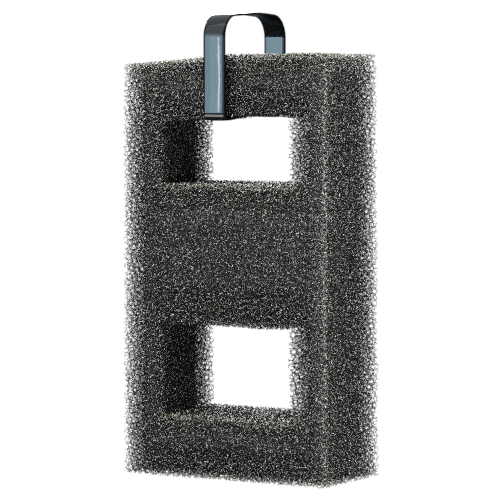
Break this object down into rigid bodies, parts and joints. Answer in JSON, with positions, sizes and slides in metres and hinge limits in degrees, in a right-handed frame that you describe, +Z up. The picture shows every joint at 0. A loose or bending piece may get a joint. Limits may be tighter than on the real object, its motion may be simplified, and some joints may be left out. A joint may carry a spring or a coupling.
{
  "type": "sponge filter",
  "caption": "Tall block of coarse open-cell filter foam with two rectangular windows through it and a loose flat plastic carrying strap looped round its top bar.",
  "frame": {"origin": "centre of the foam block's base, on the surface it stands on", "axes": "+Z up along the block's height, X across its wide face, Y through its depth along the strap's loop, -Y the front"},
  "size_m": [0.1366, 0.074, 0.275],
  "materials": {
    "foam": "open-cell reticulated foam, charcoal",
    "strap": "smooth glossy dark moulded plastic"
  },
  "bodies": {
    "block": {"foam_block": "foam"},
    "strap": {"carry_strap": "strap"}
  },
  "joints": [
    {"name": "strap_slide", "type": "slide", "parent": "block", "child": "strap", "axis": [0, 0, 1], "range_m": [-0.016, 0]}
  ]
}
